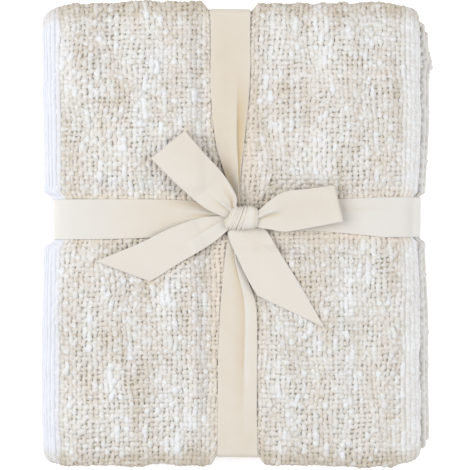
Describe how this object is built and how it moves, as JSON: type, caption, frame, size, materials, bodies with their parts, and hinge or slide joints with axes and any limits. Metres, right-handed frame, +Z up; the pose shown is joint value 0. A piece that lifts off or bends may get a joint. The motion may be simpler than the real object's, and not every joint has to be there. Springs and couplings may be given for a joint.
{
  "type": "folded woven throw blanket tied with tape",
  "caption": "Thick slub-woven throw folded into a flat pack and tied both ways with a cotton tape and a bow.",
  "frame": {"origin": "centre of the pack's underside, on the surface it rests on", "axes": "+Z up through the bow, +Y along the pack's longer side, +X across it from the closed spine to the open ends"},
  "size_m": [0.3715, 0.4406, 0.0718],
  "materials": {
    "slub_cotton": "rough thick-and-thin weave, matte",
    "cotton_tape": "smooth twill, matte"
  },
  "bodies": {
    "root": {"throw": "slub_cotton", "tape_across": "cotton_tape", "tape_along": "cotton_tape", "bow_knot": "cotton_tape", "bow_loop_left": "cotton_tape", "bow_loop_right": "cotton_tape", "bow_tail_left": "cotton_tape", "bow_tail_right": "cotton_tape"}
  },
  "joints": []
}
